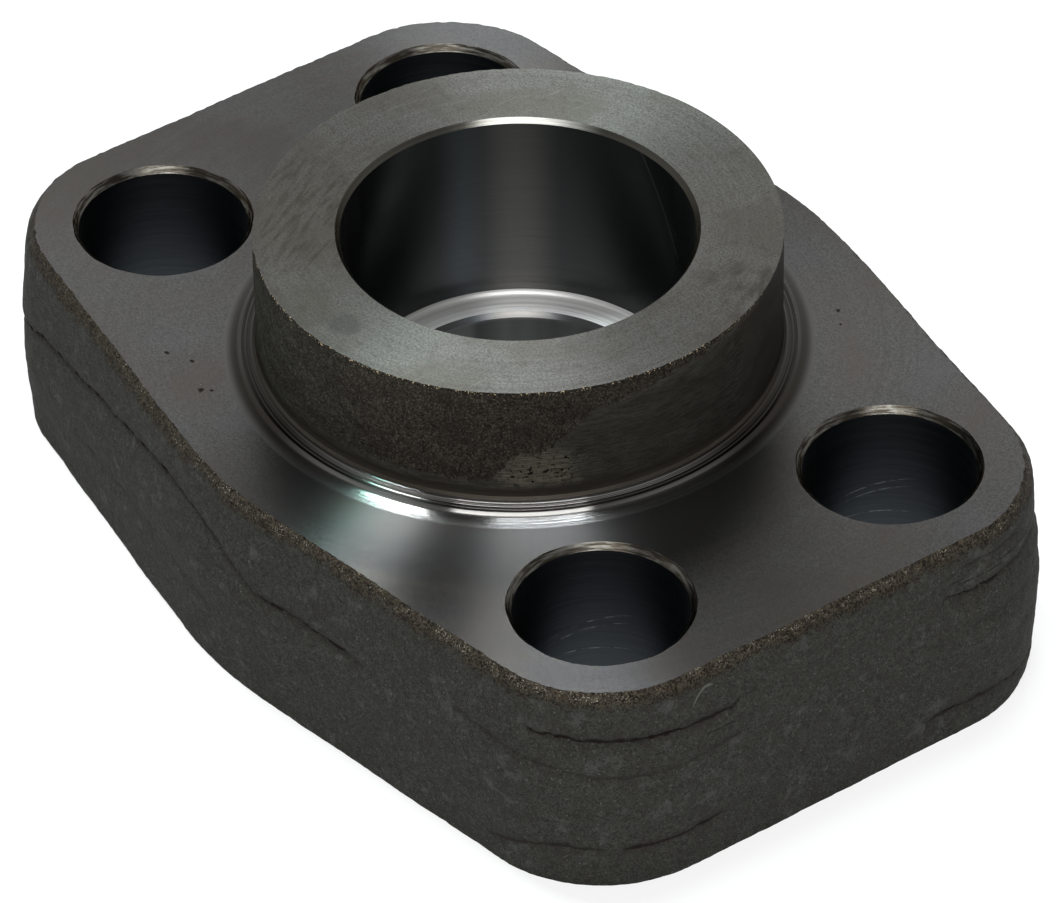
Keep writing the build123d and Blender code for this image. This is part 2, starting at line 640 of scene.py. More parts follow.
bevel_tilt = 0.3
finish_all(side_wall, "forged_skin")
for copy in holes:
    finish_all(copy, "drilled_steel")
    copy.data.materials.append(finishes["burred_edge"])
    for face in copy.data.polygons:
        face.material_index = int(abs(face.normal.z) > bevel_tilt)
finish_all(turned_body, "turned_steel")
for name in ("hub_side", "foot_steel", "bored_steel", "hub_top", "ledge_steel", "burred_edge"):
    turned_body.data.materials.append(finishes[name])
slot = {name: index for index, name in enumerate(turned_body.data.materials.keys())}
hub_side_from = foot_top + 0.36 * mm
near_the_wall = hub_radius - 0.5 * mm
upright_tilt = 0.2
for face in turned_body.data.polygons:
    radius = Vector(face.center[:2]).length
    in_the_hole = radius < socket_radius * 1.001
    if radius > near_the_wall and hub_side_from < face.center.z < total_height - tiny:
        face.material_index = slot["hub_side"]
    elif radius > near_the_wall and plate_top < face.center.z < hub_side_from:
        face.material_index = slot["foot_steel"]
    elif in_the_hole and (
            abs(face.normal.z) < upright_tilt or face.center.z < socket_floor - tiny):
        face.material_index = slot["bored_steel"]
    elif in_the_hole and face.center.z < socket_floor + ledge_fillet:
        face.material_index = slot["ledge_steel"]
    elif radius < socket_radius + socket_chamfer and face.center.z > socket_floor:
        face.material_index = slot["burred_edge"]
    elif face.center.z > total_height - tiny:
        face.material_index = slot["hub_top"]
print(len(finishes), "materials, of which the turned body has", len(slot))

# %% [markdown]
# ## One closed body
#
# The surfaces are joined and the two flat faces are filled between their loops: the top between
# the wall, the flare and the four holes, the bottom between the wall, the groove and the holes.
# Fill makes long thin triangles, which would show on a bent surface but not on a flat one. The
# loops round a flat face are marked sharp, so that its shading stays flat to the edge. A body that
# is closed has no open edges and a volume, so both are measured.

# %% Join the surfaces and fill the flat faces
bpy.ops.object.select_all(action="DESELECT")
for piece in (side_wall, turned_body, *holes):
    piece.select_set(True)
bpy.context.view_layer.objects.active = turned_body
bpy.ops.object.join()
flange = turned_body
flange.name = "flange"

open_for_editing(flange, "EDGE")
for level in (plate_top, 0.0):
    pick(flange, "edges", lambda edge: edge.is_boundary and all(
        abs(vertex.co.z - level) < tiny for vertex in edge.verts))
    bpy.ops.mesh.mark_sharp()
    bpy.ops.mesh.fill(use_beauty=True)
bpy.ops.mesh.select_all(action="SELECT")
bpy.ops.mesh.normals_make_consistent(inside=False)
close()

level_enough = 0.9999
for face in flange.data.polygons:
    on_a_flat_face = abs(face.center.z - plate_top) < tiny or abs(face.center.z) < tiny
    if abs(face.normal.z) > level_enough and on_a_flat_face:
        face.material_index = slot["turned_steel"]
flange.data.update()
sharpest_smooth_angle = math.radians(32)
bpy.ops.object.shade_smooth_by_angle(angle=sharpest_smooth_angle, keep_sharp_edges=True)

solid = bmesh.new()
solid.from_mesh(flange.data)
open_edges = sum(not edge.is_manifold for edge in solid.edges)
print(
    "the flange has", sum(len(face.verts) - 2 for face in solid.faces), "triangles,",
    open_edges, "open edges and", round(solid.calc_volume() / mm**3), "cubic millimetres")
solid.free()

# %% [markdown]
# ## Which way the rings run
#
# Turning leaves fine rings about the flange's axis, and a metal shader has to know which way they
# run to draw a highlight out across them. With nothing else given, it takes them about the middle
# of the mesh's texture space, so that space is made a cube that stands exactly on the axis.

# %% Centre the texture space on the axis
flange.data.use_auto_texspace = False
flange.data.texspace_location = (0, 0, total_height / 2)
flange.data.texspace_size = (half_length, half_length, half_length)
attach(flange, "root")
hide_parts("flange_body")
print("the texture space reaches", round(half_length / mm, 1), "mm each way from the axis")

# %% [markdown]
# ## Writing materials as sums
#
# A procedural material is arithmetic on the surface's coordinates. Wrapping a node's output in a
# small class, with plus, minus and times defined, lets that arithmetic be written as it would be
# on paper, while every operator still adds an ordinary Math node. A second class holds one
# material's nodes. Its coats lay one colour over another, as grime and wear lie on steel: each
# coat has a share, which is 0 where it is missing and 1 where it covers, and a colour.

# %% A small class for shader maths
class Value:
    """A number that varies over a surface: one output of one node."""

    def __init__(self, paint, socket):
        self.paint = paint
        self.socket = socket

    def math(self, operation, *others, clamp=False):
        """Work this number out with others, by one Math node."""
        inputs = {0: self}
        inputs.update({index + 1: other for index, other in enumerate(others)})
        return self.paint.node("Math", inputs, operation=operation, use_clamp=clamp)

    def __add__(self, other):
        return self.math("ADD", other)

    def __sub__(self, other):
        return self.math("SUBTRACT", other)

    def __mul__(self, other):
        return self.math("MULTIPLY", other)

    def __truediv__(self, other):
        return self.math("DIVIDE", other)

    def __rsub__(self, other):
        return (self * -1) + other

    __radd__ = __add__
    __rmul__ = __mul__

    def clamped(self):
        """The same number, kept between 0 and 1."""
        return self.math("ADD", 0.0, clamp=True)

    def near(self, middle, inner, outer):
        """1 within inner of the middle, falling smoothly to 0 at outer."""
        return self.paint.ramp((self - middle).math("ABSOLUTE"), inner, outer, 1.0, 0.0)


class Paint:
    """One material's nodes."""

    def __init__(self, name):
        self.material = finishes[name]
        self.material.use_nodes = True
        self.tree = self.material.node_tree
        self.shader = self.tree.nodes["Principled BSDF"]

    def node(self, kind, inputs=None, output=0, **settings):
        """Add a node: its settings first, then its sockets' values or links."""
        made = self.tree.nodes.new("ShaderNode" + kind)
        for name, setting in settings.items():
            setattr(made, name, setting)
        for name, value in (inputs or {}).items():
            self.feed(made.inputs[name], value)
        return Value(self, made.outputs[output])

    def feed(self, socket, value):
        """Link a value to a socket, or set the socket to a plain number, place or colour."""
        if isinstance(value, Value):
            self.tree.links.new(value.socket, socket)
        elif socket.type == "RGBA":
            socket.default_value = (*value, 1.0)
        else:
            socket.default_value = value

    def place(self, scale=(1, 1, 1)):
        """Where the shaded point is on the object, in millimetres, perhaps stretched."""
        here = self.node("TexCoord", output="Object")
        per_mm = [share / mm for share in scale]
        return self.node("Mapping", {"Vector": here, "Scale": per_mm})

    def noise(self, where, size, detail=2.0, roughness=0.5):
        """Cloudy noise, 0 to 1, with blotches of about that size in millimetres."""
        return self.node("TexNoise", {
            "Vector": where, "Scale": 1 / size, "Detail": detail, "Roughness": roughness})

    def attribute(self, name):
        """A number that the vertices carry."""
        return self.node("Attribute", output="Fac", attribute_name=name)

    def ramp(self, value, low, high, start=0.0, end=1.0):
        """A smooth step: start below low, end above high."""
        return self.node("MapRange", {
            "Value": value, "From Min": low, "From Max": high, "To Min": start, "To Max": end,
        }, interpolation_type="SMOOTHSTEP")

    def blend(self, share, one, other):
        """From one colour to another, as the share goes from 0 to 1."""
        return self.node(
            "Mix", {"Factor": share, "A": one, "B": other}, output="Result", data_type="RGBA")

    def coats(self, base, *layers):
        """Lay colours over a base in turn. Each layer is its share, from 0 to 1, and its colour."""
        for share, over in layers:
            base = self.blend(share, base, over)
        return base

    def apart(self, vector):
        """The three numbers of a vector."""
        made = self.tree.nodes.new("ShaderNodeSeparateXYZ")
        self.tree.links.new(vector.socket, made.inputs[0])
        return [Value(self, socket) for socket in made.outputs]

    def join(self, x, y, z):
        """A vector from three numbers."""
        return self.node("CombineXYZ", {"X": x, "Y": y, "Z": z})

    def set(self, **sockets):
        """Set the shader's own sockets, with underscores for the spaces in their names."""
        for name, value in sockets.items():
            self.feed(self.shader.inputs[name.replace("_", " ")], value)

    def bump(self, height, distance):
        """Turn a height from 0 to 1 into a dented normal, that far deep in millimetres."""
        inputs = {"Height": height, "Distance": distance * mm, "Strength": 1.0}
        return self.node("Bump", inputs, output="Normal")


def count_nodes(*paints):
    """Print how many nodes each material took."""
    for paint in paints:
        print(paint.material.name, "takes", len(paint.tree.nodes), "nodes")


# Metal mirrors more at a glancing angle. Rough and dirty steel hardly does.
dull_edge = (0.15, 0.15, 0.15)

# A quarter turn draws the highlight out across the rings instead of along them
across_the_rings = 0.25

# The heights and the radius that the materials look for, in millimetres as they use them
plate_level = plate_top / mm
foot_level = foot_top / mm
rim_level = total_height / mm
ledge_level = socket_floor / mm
flare_edge = flare_radius / mm

# %% [markdown]
# ## Turned steel
#
# A facing tool cuts a fine spiral. Along the spiral the steel is smooth and across it rough, so
# light is thrown into bright wedges that point at the axis. That needs an anisotropic shader, and
# its roughness across the rings is helped by faint rings in the normal. The rings are noise on
# the distance from the axis, with a little of the angle, so that no ring is perfect. Four faces
# share these helpers, and each of them then gets a finish of its own.

# %% Helpers for the turned faces
def distance_from(x, y, centre=(0.0, 0.0)):
    """How far the shaded point is from an upright line."""
    away_x = x - centre[0]
    away_y = y - centre[1]
    return (away_x * away_x + away_y * away_y).math("SQRT")


def bearing_of(x, y):
    """Which way the shaded point lies from the axis, in radians from +X."""
    return y.math("ARCTAN2", x)


def rings(paint, size, wander=0.4):
    """Noise that runs in rings about the flange's axis."""
    x, y, z = paint.apart(paint.place())
    distance = distance_from(x, y)
    around_x = x / distance * wander
    around_y = y / distance * wander
    return paint.noise(paint.join(distance / size + z / size, around_x, around_y), 1.0, 2.0)


def spot(paint, parts, centre, radius, ragged):
    """1 inside a ragged round spot on a flat face, 0 outside it."""
    distance = distance_from(parts[0], parts[1], centre) + ragged * radius
    return paint.ramp(distance, radius * 0.6, radius * 1.2, 1.0, 0.0)


def in_front(paint):
    """1 on the side of the hub that faces the viewer, where the plate and the foot get a painted
    highlight.
    """
    x, y, z = paint.apart(paint.place())
    return bearing_of(x, y).near(-0.68, 0.40, 1.00)


# %% [markdown]
# ## The faced plate
#
# Beside the hub, on the side that faces the viewer, the plate's top has a painted highlight, and it
# is greyer outwards. Fingermarks and oil leave cloudy patches, and a few rust pits sit on the left,
# with a faint brown halo round them. A pit is a ragged spot, both in the colour and as a dent in
# the normal.

# %% The faced plate
Pit = namedtuple("Pit", "centre radius")
pits = [
    Pit((-12.2, -18.6), 0.19),
    Pit((-10.6, -17.8), 0.15),
    Pit((-7.8, -19.0), 0.20),
    Pit((-7.4, -18.5), 0.12),
    Pit((9.7, 17.9), 0.16),
    Pit((10.9, 17.2), 0.10),
]
pitted_place = (-9.6, -18.4)
pitted_radius = 2.8


def turned_steel():
    paint = Paint("turned_steel")
    here = paint.place()
    parts = paint.apart(here)
    fine = rings(paint, 0.13)
    grain = paint.noise(here, 0.13, 3.0, 0.7)
    distance = distance_from(parts[0], parts[1])
    # A painted highlight beside the hub, on the side that faces the viewer
    painted_front_highlight = paint.ramp(distance, flare_edge, flare_edge + 5.3, 0.60, 0.0) * in_front(paint)
    far_left = paint.ramp(parts[0], -34.0, -12.0, 0.25, 0.0)
    clouds = paint.noise(here, 7.0, 3.0)
    stain = paint.ramp(clouds + rings(paint, 0.9, 0.8) * 0.3, 0.55, 0.85)

    # The large pits, and a sprinkling of small ones inside the halo
    ragged = paint.noise(here, 0.3, 3.0) - 0.5
    halo = spot(paint, parts, pitted_place, pitted_radius, ragged * 0.2)
    rust = paint.ramp(paint.noise(here, 0.2, 1.0), 0.71, 0.76) * halo
    for pit in pits:
        rust = rust.math("MAXIMUM", spot(paint, parts, pit.centre, pit.radius, ragged * 2.0))

    base = paint.coats(
        paint.blend(fine, (0.098, 0.098, 0.096), (0.146, 0.145, 0.143)),
        (paint.ramp(grain, 0.34, 0.70) * 0.9, (0.066, 0.065, 0.064)),
        (painted_front_highlight, (0.20, 0.20, 0.197)),
        (far_left, (0.180, 0.180, 0.176)),
        (stain * 0.5, (0.104, 0.092, 0.078)),
        (paint.ramp(clouds, 0.42, 0.25) * 0.4, (0.126, 0.120, 0.128)),
        (halo * 0.10, (0.060, 0.040, 0.030)),
        (rust * 0.9, (0.024, 0.016, 0.012)))
    paint.set(
        Base_Color=base, Metallic=1.0,
        Roughness=0.22 + stain * 0.02 + rust * 0.3,
        Anisotropic=1.0, Anisotropic_Rotation=across_the_rings,
        Normal=paint.bump(fine * 0.15 - rust, 0.01))
    return paint


count_nodes(turned_steel())

# %% [markdown]
# ## The top of the hub
#
# The hub's top was faced apart from the plate. Its steel is duller and mottled, with nicks and
# hairlines, short strokes of dirt on the left that were all wiped one way, and a few smears on the
# right. A stroke is noise that is stretched by its Mapping node, after the coordinates are turned
# to the way of the wiping.

# %% The top of the hub
wiping_angle = math.radians(-27)


def hub_top():
    paint = Paint("hub_top")
    here = paint.place()
    parts = paint.apart(here)
    fine = rings(paint, 0.12)
    clouds = paint.noise(here, 5.0, 3.0)
    grain = paint.noise(here, 0.15, 3.0, 0.7)
    mottle = paint.noise(here, 0.8, 5.0, 0.75)
    nicks = paint.ramp(paint.noise(here, 0.22, 1.0), 0.72, 0.78)
    hairs = paint.noise(paint.place((2.4, 0.10, 1)), 0.3, 2.0)

    # Short strokes of dirt on the left, a few smears on the right and a smudge in front
    ragged = paint.noise(here, 1.2, 3.0) - 0.5
    wiped = paint.node(
        "VectorRotate", {"Vector": here, "Angle": wiping_angle}, rotation_type="Z_AXIS")
    short_place = paint.node("Mapping", {"Vector": wiped, "Scale": (2.8, 0.42, 1)})
    long_place = paint.node("Mapping", {"Vector": wiped, "Scale": (0.9, 0.35, 1)})
    strokes = paint.noise(short_place, 1.0, 4.0, 0.6)
    smears = paint.noise(long_place, 1.0, 3.0)
    left = spot(paint, parts, (-9.6, -10.4), 6.4, ragged * 0.6)
    right = spot(paint, parts, (13.4, 7.4), 3.0, ragged * 0.7)
    smudge = spot(paint, parts, (1.7, -14.3), 1.1, ragged * 0.9)

    base = paint.coats(
        paint.blend(fine, (0.108, 0.106, 0.099), (0.190, 0.187, 0.175)),
        (paint.ramp(grain, 0.38, 0.68) * 0.8, (0.062, 0.059, 0.051)),
        (paint.ramp(clouds, 0.42, 0.62) * 0.5, (0.086, 0.080, 0.066)),
        (paint.ramp(mottle, 0.50, 0.66) * 0.4, (0.064, 0.060, 0.049)),
        (nicks * 0.3, (0.24, 0.23, 0.21)),
        (paint.ramp(hairs, 0.60, 0.74) * 0.35, (0.20, 0.195, 0.18)),
        (left * 0.4, (0.072, 0.067, 0.052)),
        (left * paint.ramp(strokes, 0.44, 0.70) * 0.6, (0.034, 0.030, 0.021)),
        (right * paint.ramp(smears, 0.42, 0.66) * 0.65, (0.040, 0.034, 0.024)),
        (smudge * 0.45, (0.050, 0.052, 0.048)))
    paint.set(
        Base_Color=base, Metallic=1.0,
        Roughness=0.36 + fine * 0.05,
        Anisotropic=0.7, Anisotropic_Rotation=across_the_rings,
        Normal=paint.bump(fine * 0.6 + grain * 0.4, 0.005))
    return paint


count_nodes(hub_top())

# %% [markdown]
# ## The foot of the hub and the ledge in the socket
#
# Both were left by the nose of the tool, in rings that show. The foot has painted shade at the
# hub's sides, where it is dull and brown, and a painted highlight in front, where it also mirrors
# the lamps as white arcs. The pipe's end rests on the ledge, which is pale, partly as painted
# light, and brightest across from the viewer, where it has a painted highlight.

# %% The foot and the ledge
def foot_steel():
    paint = Paint("foot_steel")
    x, y, z = paint.apart(paint.place())
    distance = distance_from(x, y)
    fine = rings(paint, 0.08)
    front = in_front(paint)
    # The sides get a dark, shaded copy and the front a bright, lit copy: painted shade and a
    # painted highlight, on the foot and on its flare
    painted_shade_sides = paint.blend(fine, (0.014, 0.012, 0.010), (0.034, 0.031, 0.026))
    painted_highlight_front = paint.blend(fine, (0.100, 0.096, 0.090), (0.180, 0.178, 0.172))
    outer = paint.ramp(distance, foot_radius / mm, flare_edge)
    flare_shade_and_highlight = paint.blend(front, (0.100, 0.099, 0.097), (0.230, 0.229, 0.226))
    flare_share = outer * (outer * (1 - front) + front)
    base = paint.blend(flare_share, paint.blend(front, painted_shade_sides, painted_highlight_front), flare_shade_and_highlight)
    paint.set(
        Base_Color=base, Metallic=1.0, Roughness=0.17 + outer * 0.05,
        Anisotropic=1.0, Anisotropic_Rotation=across_the_rings, Normal=paint.bump(fine, 0.01))
    return paint


def ledge_steel():
    paint = Paint("ledge_steel")
    fine = rings(paint, 0.1)
    coarse = paint.ramp(rings(paint, 0.32, 0.2), 0.35, 0.65)
    x, y, z = paint.apart(paint.place())
    # The pale base is partly painted light, and the band across from the viewer is a painted
    # highlight
    base = paint.coats(
        paint.blend(fine, (0.30, 0.30, 0.29), (0.60, 0.60, 0.58)),
        (bearing_of(x, y).near(2.08, 0.50, 0.82) * 0.75, (0.95, 0.95, 0.94)),
        (coarse * 0.5, (0.36, 0.36, 0.35)))
    paint.set(
        Base_Color=base, Metallic=0.5, Roughness=0.42,
        Anisotropic=0.7, Anisotropic_Rotation=across_the_rings, Normal=paint.bump(fine, 0.008))
    return paint


count_nodes(foot_steel(), ledge_steel())

# %% [markdown]
# ## Forged skin
#
# The sides were shot blasted after forging: dull dark grey with a fine sandy grain, browner along
# the top edge, where the cutting tool left burrs, with painted glints on them in patches. A dark
# line is drawn along each lap, where the height above it that every vertex was given passes zero,
# in a soft painted shade. Noise bends the line a little and changes its width, because a line of
# one width looks drawn with a pen.

# %% Forged skin
def sandy(paint, where):
    """Grain at two sizes, about 0 to 1."""
    fine = paint.noise(where, 0.13, 2.0, 0.7)
    middle = paint.noise(where, 0.38, 2.0, 0.6)
    return fine * 0.7 + middle * 0.3


def forged_skin():
    paint = Paint("forged_skin")
    here = paint.place()
    x, y, z = paint.apart(here)
    grain = sandy(paint, here)
    fleck = paint.ramp(paint.noise(here, 0.17, 1.0), 0.66, 0.76)
    clouds = paint.noise(here, 5.0, 4.0, 0.6)
    mottle = paint.ramp(paint.noise(here, 1.1, 5.0, 0.7), 0.38, 0.66)
    pale = paint.ramp(paint.noise(here, 1.7, 5.0, 0.75), 0.55, 0.68)
    wobble = paint.noise(here, 0.8, 4.0, 0.65) - 0.5

    # The brown band along the top edge, and painted glints on the burrs in it, in patches
    edge = paint.ramp(z + wobble * 1.6 + (clouds - 0.5) * 1.4, plate_level - 1.3, plate_level - 0.4)
    burr = paint.ramp(z + wobble * 0.6, plate_level - 0.7, plate_level - 0.3)
    painted_glint = paint.ramp(paint.noise(here, 0.10, 1.0), 0.55, 0.70)
    painted_glint = painted_glint * paint.ramp(paint.noise(here, 0.9, 3.0, 0.6), 0.40, 0.66)
    painted_glint = painted_glint * paint.ramp(paint.noise(here, 3.5, 2.0), 0.38, 0.60, 0.3, 1.0)
    painted_glint = painted_glint * paint.ramp(x, -26.0, 2.0, 0.3, 1.0)

    # The lap: a thin dark line of changing width in a soft shade
    strength = paint.attribute("lap_strength")
    distance = (paint.attribute("lap_offset") + wobble * 0.15).math("ABSOLUTE")
    width = paint.ramp(paint.noise(here, 0.9, 3.0, 0.6), 0.38, 0.68, 0.05, 0.20)
    crack = paint.ramp(distance / width, 0.5, 1.8, 1.0, 0.0) * strength
    shade = paint.ramp(distance, 0.05, 0.8, 1.0, 0.0) * strength

    # A pale nick on the near corner, curved like a fingernail
    along = y + 9.7
    nick = (z + along * along * 0.74).near(plate_level - 1.15, 0.02, 0.15)
    nick = nick * along.near(-0.4, 0.5, 0.95) * x.math("GREATER_THAN", 30.0)

    grey = paint.blend(paint.ramp(grain, 0.34, 0.66), (0.017, 0.017, 0.0145), (0.049, 0.050, 0.043))
    brown = paint.blend(paint.ramp(grain, 0.38, 0.64), (0.007, 0.005, 0.004), (0.050, 0.041, 0.029))
    base = paint.coats(
        grey,
        (mottle * 0.5, (0.026, 0.022, 0.020)),
        (pale * 0.42, (0.082, 0.084, 0.077)),
        (fleck * 0.5, (0.13, 0.13, 0.12)),
        (shade * 0.45, (0.018, 0.014, 0.011)),
        (edge, brown),
        (painted_glint * burr, (0.24, 0.215, 0.175)),
        (crack * 0.95, (0.008, 0.005, 0.004)),
        (nick * 0.6, (0.13, 0.14, 0.115)))
    paint.set(
        Base_Color=base, Metallic=0.65,
        Roughness=0.62 - burr * 0.2, Specular_Tint=dull_edge,
        Normal=paint.bump(grain * (edge * 0.9 + 1.0) - crack, 0.07))
    return paint


count_nodes(forged_skin())

# %% [markdown]
# ## The side of the hub
#
# One material carries both states of the hub's side. The skin number says which: above zero the
# wall is dark brown forged grain, below it is steel that the tool has smoothed. Where the two meet
# near the foot, the tool only just touched the steel and left a pale, pitted patch.

# %% The side of the hub
def hub_side():
    paint = Paint("hub_side")
    here = paint.place()
    x, y, z = paint.apart(here)
    grain = sandy(paint, here)
    ragged = paint.noise(here, 0.9, 4.0, 0.75) - 0.5
    clouds = paint.noise(paint.place((0.4, 0.4, 1)), 1.6, 4.0, 0.65)
    covered = paint.ramp(paint.attribute("skin") + ragged * 2.0, -0.15, 0.15)

    # The forged skin: grey at the back, brown in front, pale specks in its grain, and painted
    # glints along its rim
    specks_and_rim_glints = paint.ramp(paint.noise(here, 0.13, 1.0), 0.60, 0.70)
    rim_glint_band = paint.ramp(z + ragged * 0.3, rim_level - 0.30, rim_level - 0.03)
    grey = paint.blend(paint.ramp(grain, 0.32, 0.68), (0.019, 0.019, 0.016), (0.056, 0.055, 0.046))
    brown = paint.blend(paint.ramp(grain, 0.36, 0.66), (0.014, 0.012, 0.010), (0.058, 0.051, 0.040))
    forged = paint.coats(
        grey,
        (paint.ramp(x, -8.0, 10.0), brown),
        (paint.ramp(clouds, 0.42, 0.62) * 0.5, (0.020, 0.017, 0.014)),
        (specks_and_rim_glints * 0.30, (0.13, 0.12, 0.10)))

    # The smoothed steel, its pale patch with hollows, and the dark line above the foot
    brushed = paint.noise(paint.place((0.10, 0.10, 1)), 0.10, 3.0, 0.6)
    streaks = paint.ramp(brushed * 0.6 + grain * 0.4, 0.32, 0.66)
    turn = bearing_of(x, y)
    patch = (turn + ragged * 0.35).near(-0.56, 0.06, 0.20)
    patch = patch * paint.ramp(z + ragged, foot_level + 3.4, foot_level + 4.6, 1.0, 0.0)
    patch = patch * paint.ramp(z + ragged * 0.4, foot_level + 1.0, foot_level + 1.6)
    hollow = paint.ramp(paint.noise(here, 0.4, 3.0, 0.6), 0.55, 0.64) * patch
    scraped = paint.blend(streaks, (0.050, 0.045, 0.034), (0.165, 0.152, 0.118))
    smoothed = paint.coats(
        paint.blend(streaks, (0.026, 0.025, 0.021), (0.066, 0.064, 0.055)),
        (paint.ramp(clouds, 0.40, 0.66) * 0.5, (0.028, 0.023, 0.017)),
        (patch * 0.75, scraped),
        (paint.ramp(z, foot_level + 0.8, foot_level + 1.3, 1.0, 0.0) * 0.8, (0.028, 0.024, 0.019)),
        (hollow, (0.010, 0.008, 0.007)),
        (paint.ramp(turn, 0.15, 0.70) * 0.4, (0.016, 0.014, 0.011)))

    base = paint.coats(
        smoothed, (covered, forged), (rim_glint_band * specks_and_rim_glints * covered, (0.8, 0.64, 0.40)))
    paint.set(
        Base_Color=base, Metallic=0.8,
        Roughness=0.46 + covered * 0.14, Specular_Tint=dull_edge,
        Normal=paint.bump(paint.blend(covered, brushed * 0.15 + 0.42, grain) - hollow, 0.06))
    return paint


count_nodes(hub_side())

# %% [markdown]
# ## Bored steel
#
# The socket and the bore below it were cut by a single point tool and are smooth and dark, with
# a cool and a warm band that stand upright on the far side. Both bands are painted reflections,
# placed by their bearing. One thin streak climbs the right of the socket, and the bore is streaked
# all round.

# %% Bored steel
def bored_steel():
    paint = Paint("bored_steel")
    x, y, z = paint.apart(paint.place())
    lines = paint.noise(paint.join(x * 0.02, y * 0.02, z), 0.12, 2.0)
    drift = paint.noise(paint.join(x, y, z * 0.02), 4.0, 2.0)
    turn = bearing_of(x, y).math("FLOORED_MODULO", 2 * math.pi)
    # Two upright bands on the far side, one cool and one warm, are painted reflections
    cool_reflection = turn.near(2.86, 0.0, 0.20)
    warm_reflection = turn.near(2.52, 0.02, 0.26)
    streak_start = ledge_level + 8.0
    streak = (turn - (z - streak_start) * 0.057).near(1.414, 0.003, 0.012)
    streak = streak * paint.ramp(z, streak_start - 1.0, streak_start + 1.0)
    below_the_ledge = paint.ramp(z, ledge_level - 0.6, ledge_level - 0.1, 1.0, 0.0)
    streaked = paint.blend(
        paint.ramp(drift, 0.35, 0.65), (0.030, 0.031, 0.030), (0.080, 0.082, 0.082))
    base = paint.coats(
        paint.blend(drift, (0.072, 0.077, 0.080), (0.100, 0.100, 0.098)),
        (cool_reflection * 0.9, (0.118, 0.130, 0.138)),
        (warm_reflection * 0.9, (0.172, 0.165, 0.156)),
        (streak * 0.4, (0.42, 0.42, 0.42)),
        (below_the_ledge, streaked),
        (lines * 0.35, (0.04, 0.04, 0.04)))
    paint.set(
        Base_Color=base, Metallic=1.0, Roughness=0.26 + lines * 0.08,
        Anisotropic=0.6, Anisotropic_Rotation=across_the_rings,
        Specular_Tint=dull_edge, Normal=paint.bump(lines, 0.004))
    return paint


count_nodes(bored_steel())

# %% [markdown]
# ## Drilled steel and the bevelled mouths
#
# The walls of the bolt holes keep a few bright scratches that curl round, where chips were dragged
# out. A scratch is a thin line on the unrolled wall, so it is worked out from the height and from
# the bearing about the hole's own axis. The mouths of the holes were bevelled by hand and are
# streaked, while the socket's mouth was turned and has a painted highlight on its far side.

# %% Drilled steel and the bevelled mouths
def drilled_steel():
    paint = Paint("drilled_steel")
    x, y, z = paint.apart(paint.place())
    lines = paint.noise(paint.join(x * 0.03, y * 0.03, z), 0.2, 3.0)
    from_hole_x = x - x.math("SIGN") * (bolt_x / mm)
    from_hole_y = y - y.math("SIGN") * (bolt_y / mm)
    turn = bearing_of(from_hole_x, from_hole_y).math("FLOORED_MODULO", 2 * math.pi)
    breaks = paint.noise(paint.join(x, y, z * 3), 0.9, 3.0, 0.7)

    # Faint scratches in the near holes: the height of each one, and how it climbs as it goes round
    scratches = 0.0
    for start, climb in ((9.5, -1.35), (8.9, -1.2), (6.9, -0.15)):
        line = (z - (turn - 2.3) * climb + breaks * 0.15).near(start, 0.0, 0.07)
        drawn = line * paint.ramp(breaks, 0.44, 0.60)
        scratches = drawn * turn.near(2.7, 0.2, 0.62) + scratches
    scratches = scratches.clamped() * x.math("GREATER_THAN", 0.0)
    base = paint.coats(
        paint.blend(lines, (0.030, 0.034, 0.038), (0.062, 0.068, 0.074)),
        (paint.ramp(z, 3.0, 8.5, 1.0, 0.0) * 0.5, (0.058, 0.072, 0.084)),
        (scratches * 0.6, (0.25, 0.26, 0.26)))
    paint.set(
        Base_Color=base, Metallic=1.0, Roughness=0.34 + lines * 0.1,
        Specular_Tint=dull_edge, Normal=paint.bump(lines, 0.006))
    return paint


def burred_edge():
    paint = Paint("burred_edge")
    here = paint.place()
    x, y, z = paint.apart(here)
    streaks = paint.noise(paint.place((0.35, 0.35, 5)), 0.6, 3.0, 0.6)
    worn = paint.noise(here, 1.6, 3.0)
    by_hand = paint.coats(
        (0.022, 0.019, 0.015),
        (paint.ramp(streaks, 0.42, 0.62), (0.094, 0.091, 0.081)),
        (paint.ramp(worn, 0.50, 0.64) * 0.5, (0.026, 0.021, 0.015)))

    # Round the socket the edge was turned, so it is cleaner
    mouth = (socket_radius + socket_chamfer) / mm
    on_the_socket = paint.ramp(distance_from(x, y), mouth + 0.5, mouth + 1.5, 1.0, 0.0)
    fine = rings(paint, 0.1, 0.2)
    clean = paint.blend(fine, (0.018, 0.017, 0.013), (0.072, 0.069, 0.060))
    # The far side of the turned mouth is brighter: a painted highlight
    painted_shine = paint.blend(fine, (0.08, 0.08, 0.07), (0.36, 0.36, 0.34))
    turned = paint.blend(bearing_of(x, y).near(2.42, 0.22, 0.42), clean, painted_shine)
    paint.set(
        Base_Color=paint.blend(on_the_socket, by_hand, turned),
        Metallic=1.0, Roughness=0.30, Specular_Tint=dull_edge,
        Normal=paint.bump(streaks, 0.012))
    return paint


count_nodes(drilled_steel(), burred_edge())

# %% [markdown]
# ## The floor
#
# A pale floor takes the shadow, as where a product is photographed. It glows only for rays that see
# it straight or in a reflection, so the ground looks white and the steel mirrors it, but no light
# is added to the object and its shadow stays.

